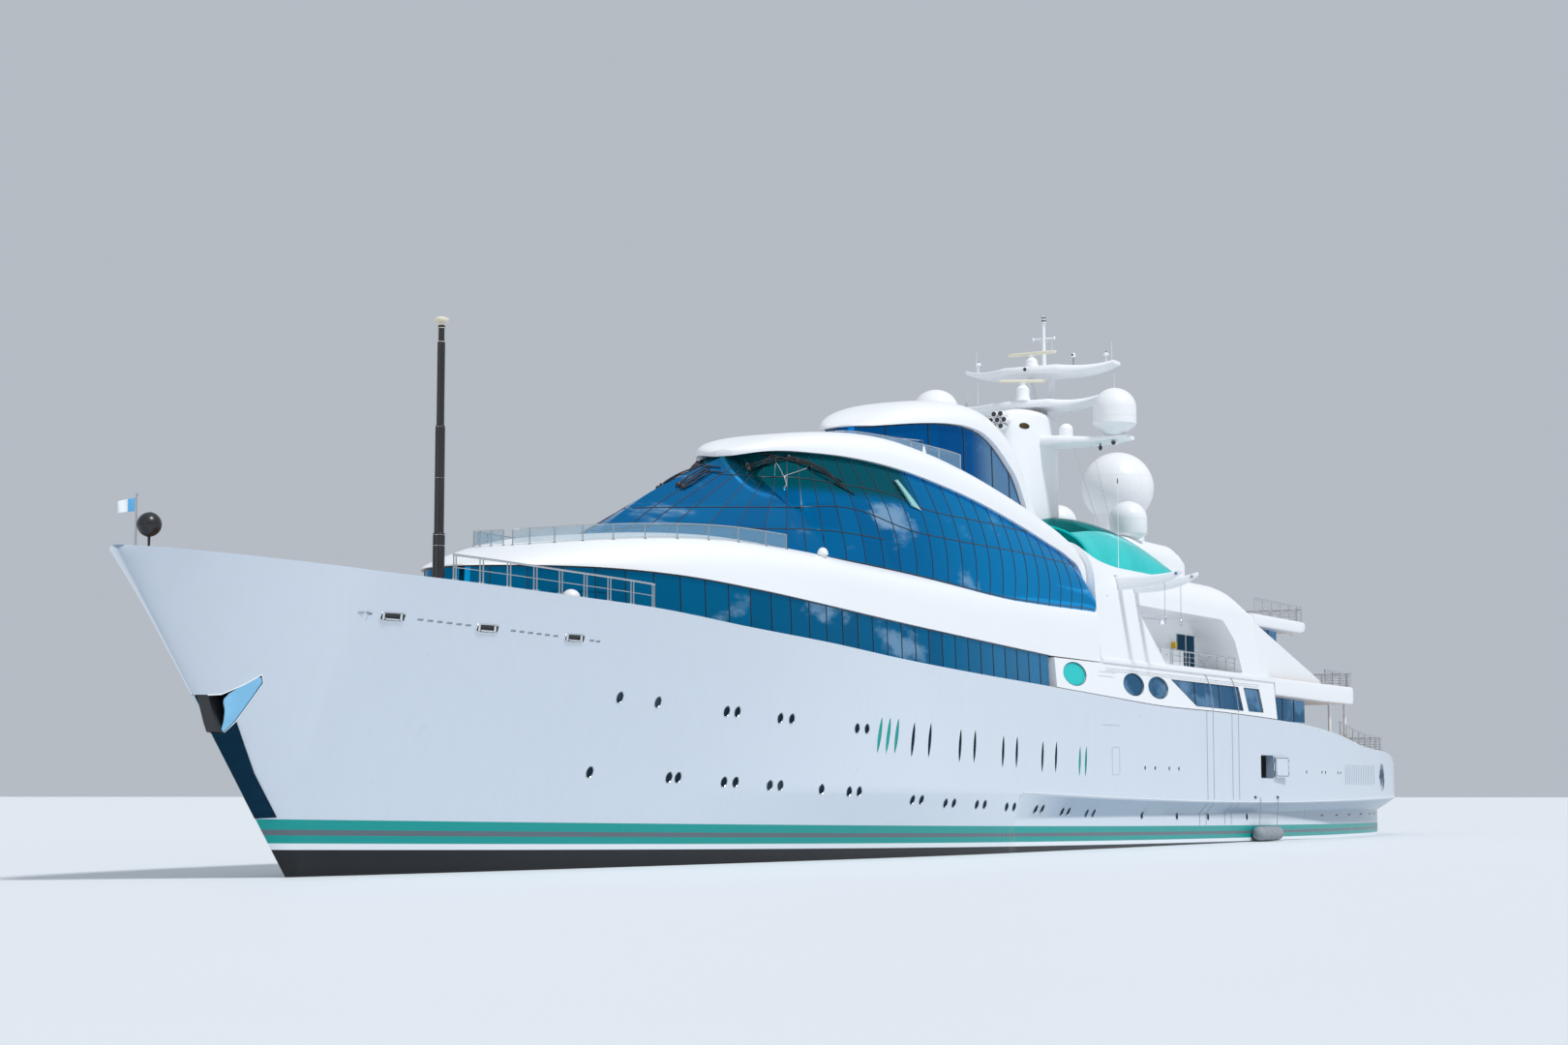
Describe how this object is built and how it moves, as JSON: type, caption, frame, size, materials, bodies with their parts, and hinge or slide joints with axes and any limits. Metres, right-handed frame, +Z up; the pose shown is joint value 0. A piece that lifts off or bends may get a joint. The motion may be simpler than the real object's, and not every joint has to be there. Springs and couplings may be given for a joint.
{
  "type": "motor yacht, 1:10 scale model",
  "caption": "Long white motor yacht with raked stem, swept glass decks, boat bays with davits, winged mast, radomes, twin propellers and rudders, as a scale model afloat.",
  "frame": {"origin": "on the waterline amidships, on the centreline", "axes": "X forward, Y to port, Z up"},
  "size_m": [14.09, 2.16, 3.7743],
  "materials": {
    "hull_paint": "satin, soft blue-grey white, with teal, grey and black bands at the waterline",
    "white_paint": "gloss white",
    "blue_glass": "dark blue reflective glazing",
    "grey_glass": "dark grey-blue glazing",
    "teal_glass": "turquoise glazing",
    "steel": "polished stainless steel",
    "dark_steel": "polished steel that mirrors the dark sea",
    "black_paint": "satin black",
    "cream_plastic": "cream",
    "white_plastic": "gloss white",
    "grey_rubber": "matt grey",
    "bronze": "cast bronze"
  },
  "bodies": {
    "ship": {"anchor_ball": "black_paint", "anchor_pocket": "dark_steel", "band_1": "white_paint", "band_2": "white_paint", "canopy_glass": "teal_glass", "fender": "grey_rubber", "foremast_base": "black_paint", "hull": "hull_paint", "jackstaff": "steel", "lower_glass": "blue_glass", "main_house": "white_paint", "main_saloon_glass": "grey_glass", "mast_platform_lower": "white_paint", "mast_platform_middle": "white_paint", "mast_platform_top": "white_paint", "mast_pole": "white_paint", "radome_big": "white_plastic", "radome_mast": "white_plastic", "radome_port": "white_plastic", "radome_roof": "white_plastic", "radome_starboard": "white_plastic", "rail_bay_port": "steel", "rail_bay_starboard": "steel", "rail_foredeck_port": "steel", "rail_foredeck_starboard": "steel", "rail_main_deck": "steel", "rail_third_deck": "steel", "rail_upper_deck": "steel", "searchlights": "white_plastic", "shaft_bracket_port": "bronze", "shaft_bracket_starboard": "bronze", "side_glass_port": "grey_glass", "side_glass_starboard": "grey_glass", "stem_shoe": "dark_steel", "sun_house": "white_paint", "third_deck": "white_paint", "top_house_glass": "blue_glass", "top_house_roof": "white_paint", "tower": "white_paint", "upper_deck": "white_paint", "upper_glass": "blue_glass", "upper_house": "white_paint", "upper_saloon_glass": "grey_glass", "windlasses": "steel"},
    "foremast_middle": {"foremast_middle": "black_paint"},
    "foremast_top": {"foremast_top": "black_paint"},
    "scanner_upper": {"scanner_upper": "cream_plastic"},
    "scanner_lower": {"scanner_lower": "cream_plastic"},
    "side_door": {"side_door": "white_paint"},
    "davit_port_fore": {"davit_port_fore": "white_paint"},
    "davit_port_aft": {"davit_port_aft": "white_paint"},
    "propeller_port": {"propeller_port": "bronze"},
    "rudder_port": {"rudder_port": "hull_paint"},
    "davit_starboard_fore": {"davit_starboard_fore": "white_paint"},
    "davit_starboard_aft": {"davit_starboard_aft": "white_paint"},
    "propeller_starboard": {"propeller_starboard": "bronze"},
    "rudder_starboard": {"rudder_starboard": "hull_paint"}
  },
  "joints": [
    {"name": "foremast_middle_slide", "type": "slide", "parent": "ship", "child": "foremast_middle", "axis": [0, 0, 1], "range_m": [-0.4, 0]},
    {"name": "foremast_top_slide", "type": "slide", "parent": "foremast_middle", "child": "foremast_top", "axis": [0, 0, 1], "range_m": [-0.38, 0]},
    {"name": "scanner_upper_turn", "type": "hinge", "parent": "ship", "child": "scanner_upper", "pos_m": [-1.07, 0, 2.98], "axis": [0, 0, 1], "continuous": true},
    {"name": "scanner_lower_turn", "type": "hinge", "parent": "ship", "child": "scanner_lower", "pos_m": [-0.99, -0.03, 2.8], "axis": [0, 0, 1], "continuous": true},
    {"name": "davit_port_fore_slide", "type": "slide", "parent": "ship", "child": "davit_port_fore", "axis": [0, -1, 0], "range_m": [0, 0.2]},
    {"name": "davit_port_aft_slide", "type": "slide", "parent": "ship", "child": "davit_port_aft", "axis": [0, -1, 0], "range_m": [0, 0.2]},
    {"name": "davit_starboard_fore_slide", "type": "slide", "parent": "ship", "child": "davit_starboard_fore", "axis": [0, 1, 0], "range_m": [0, 0.2]},
    {"name": "davit_starboard_aft_slide", "type": "slide", "parent": "ship", "child": "davit_starboard_aft", "axis": [0, 1, 0], "range_m": [0, 0.2]},
    {"name": "side_door_hinge", "type": "hinge", "parent": "ship", "child": "side_door", "pos_m": [-3.344, 0.7544, 0.49], "axis": [0, 0, 1], "range_deg": [-177, 0]},
    {"name": "propeller_port_turn", "type": "hinge", "parent": "ship", "child": "propeller_port", "pos_m": [-5.98, 0.3, -0.35], "axis": [1, 0, 0], "continuous": true},
    {"name": "propeller_starboard_turn", "type": "hinge", "parent": "ship", "child": "propeller_starboard", "pos_m": [-5.98, -0.3, -0.35], "axis": [1, 0, 0], "continuous": true},
    {"name": "rudder_port_turn", "type": "hinge", "parent": "ship", "child": "rudder_port", "pos_m": [-6.34, 0.3, -0.35], "axis": [0, 0, 1], "range_deg": [-35, 35]},
    {"name": "rudder_starboard_turn", "type": "hinge", "parent": "ship", "child": "rudder_starboard", "pos_m": [-6.34, -0.3, -0.35], "axis": [0, 0, 1], "range_deg": [-35, 35]}
  ],
  "couplings": [
    {"joint": "rudder_starboard_turn", "follows": "rudder_port_turn", "ratio": 1}
  ]
}
